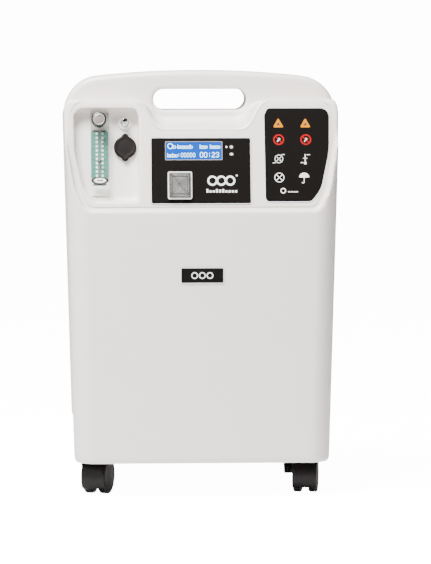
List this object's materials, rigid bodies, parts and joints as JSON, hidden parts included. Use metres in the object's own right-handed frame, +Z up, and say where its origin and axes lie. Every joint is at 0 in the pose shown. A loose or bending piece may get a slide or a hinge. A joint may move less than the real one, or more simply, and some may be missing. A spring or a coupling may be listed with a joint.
{
  "type": "oxygen concentrator",
  "caption": "Floor-standing oxygen concentrator: tapered plastic cabinet with carry handle, leaning console with flow meter, display and power switch, on swivel casters.",
  "frame": {"origin": "on the floor under the middle of the cabinet", "axes": "+Z up, the console faces -Y, +X to the right seen from the front"},
  "size_m": [0.3476, 0.2619, 0.538],
  "materials": {
    "cabinet_plastic": "satin moulded ABS, off-white",
    "black_panel": "smooth black overlay",
    "lcd": "backlit blue display",
    "circuit_board": "solder-masked board",
    "lamp": "clear lamp",
    "black_plastic": "fine-grained black plastic",
    "grey_plastic": "satin grey plastic",
    "clear_plastic": "clear acrylic",
    "teal_scale": "printed teal scale",
    "black_rubber": "matte rubber",
    "white_plastic": "gloss white plastic",
    "chrome": "bright plated brass",
    "steel": "zinc-plated steel",
    "brass": "bright",
    "aluminium": "cast and extruded",
    "copper": "drawn copper tube",
    "foam": "open-cell filter foam",
    "galvanised": "galvanised sheet",
    "wheel_plastic": "gloss black nylon",
    "hose": "silicone hose",
    "canister": "powder coat"
  },
  "bodies": {
    "cabinet": {"badge_plate": "black_panel", "base_pan": "black_plastic", "compressor_body": "aluminium", "compressor_heads": "aluminium", "compressor_springs": "steel", "control_board": "circuit_board", "display_board": "circuit_board", "display_fascia": "black_panel", "electronics_tray": "galvanised", "exhaust_muffler": "canister", "fan_frame": "black_plastic", "filter_foam": "foam", "flowmeter_body": "clear_plastic", "flowmeter_scale": "teal_scale", "front_shell": "cabinet_plastic", "heat_exchanger": "copper", "hose_set": "hose", "indicator_leds": "lamp", "inlet_pins": "brass", "intake_filter": "black_plastic", "lcd_module": "lcd", "outlet_bezel": "white_plastic", "outlet_nozzle": "chrome", "power_inlet": "black_plastic", "power_supply": "galvanised", "pressure_regulator": "brass", "product_tank": "canister", "rear_shell": "cabinet_plastic", "run_capacitor": "aluminium", "shell_screws": "steel", "sieve_bed_left": "aluminium", "sieve_bed_right": "aluminium", "sound_box": "galvanised", "switch_body": "black_plastic", "switch_cover": "clear_plastic", "symbol_label": "black_panel", "valve_block": "aluminium", "vent_grille": "cabinet_plastic"},
    "power_rocker": {"switch_rocker": "grey_plastic"},
    "flow_control": {"flow_knob": "grey_plastic"},
    "float": {"flowmeter_ball": "black_rubber"},
    "cap": {"port_cap": "black_rubber"},
    "intake_door": {"filter_door": "cabinet_plastic"},
    "fan": {"fan_rotor": "black_plastic"},
    "front_left_swivel": {"caster_front_left_hood": "black_plastic", "caster_front_left_stem": "steel"},
    "front_left_wheelset": {"caster_front_left_axle": "steel", "caster_front_left_wheels": "wheel_plastic"},
    "front_right_swivel": {"caster_front_right_hood": "black_plastic", "caster_front_right_stem": "steel"},
    "front_right_wheelset": {"caster_front_right_axle": "steel", "caster_front_right_wheels": "wheel_plastic"},
    "rear_left_swivel": {"caster_rear_left_hood": "black_plastic", "caster_rear_left_stem": "steel"},
    "rear_left_wheelset": {"caster_rear_left_axle": "steel", "caster_rear_left_wheels": "wheel_plastic"},
    "rear_right_swivel": {"caster_rear_right_hood": "black_plastic", "caster_rear_right_stem": "steel"},
    "rear_right_wheelset": {"caster_rear_right_axle": "steel", "caster_rear_right_wheels": "wheel_plastic"}
  },
  "joints": [
    {"name": "rocker_tilt", "type": "hinge", "parent": "cabinet", "child": "power_rocker", "pos_m": [-0.02825, -0.11494, 0.39428], "axis": [1, 0, 0], "range_deg": [-18, 0]},
    {"name": "knob_turn", "type": "hinge", "parent": "cabinet", "child": "flow_control", "pos_m": [-0.1298, -0.09247, 0.4762], "axis": [0, -0.9659, 0.2588], "range_deg": [-360, 720]},
    {"name": "float_rise", "type": "slide", "parent": "cabinet", "child": "float", "axis": [0, 0.2588, 0.9659], "range_m": [-0.01625, 0.03727]},
    {"name": "cap_pull", "type": "slide", "parent": "cabinet", "child": "cap", "axis": [0, -0.9659, 0.2588], "range_m": [0, 0.02]},
    {"name": "door_pull", "type": "slide", "parent": "cabinet", "child": "intake_door", "axis": [0, 1, 0], "range_m": [0, 0.03]},
    {"name": "fan_spin", "type": "hinge", "parent": "cabinet", "child": "fan", "pos_m": [0, 0.026, 0.26], "axis": [0, 0, 1], "continuous": true},
    {"name": "front_left_swivel_turn", "type": "hinge", "parent": "cabinet", "child": "front_left_swivel", "pos_m": [-0.133, -0.086, 0.05], "axis": [0, 0, 1], "continuous": true},
    {"name": "front_left_wheel_roll", "type": "hinge", "parent": "front_left_swivel", "child": "front_left_wheelset", "pos_m": [-0.13145, -0.08124, 0.023], "axis": [0.9511, -0.309, 0], "continuous": true},
    {"name": "front_right_swivel_turn", "type": "hinge", "parent": "cabinet", "child": "front_right_swivel", "pos_m": [0.133, -0.086, 0.05], "axis": [0, 0, 1], "continuous": true},
    {"name": "front_right_wheel_roll", "type": "hinge", "parent": "front_right_swivel", "child": "front_right_wheelset", "pos_m": [0.13378, -0.08106, 0.023], "axis": [0.9877, -0.1564, 0], "continuous": true},
    {"name": "rear_left_swivel_turn", "type": "hinge", "parent": "cabinet", "child": "rear_left_swivel", "pos_m": [-0.133, 0.086, 0.05], "axis": [0, 0, 1], "continuous": true},
    {"name": "rear_left_wheel_roll", "type": "hinge", "parent": "rear_left_swivel", "child": "rear_left_wheelset", "pos_m": [-0.13196, 0.09089, 0.023], "axis": [0.9781, -0.2079, 0], "continuous": true},
    {"name": "rear_right_swivel_turn", "type": "hinge", "parent": "cabinet", "child": "rear_right_swivel", "pos_m": [0.133, 0.086, 0.05], "axis": [0, 0, 1], "continuous": true},
    {"name": "rear_right_wheel_roll", "type": "hinge", "parent": "rear_right_swivel", "child": "rear_right_wheelset", "pos_m": [0.13335, 0.09099, 0.023], "axis": [0.9976, -0.0698, 0], "continuous": true}
  ]
}
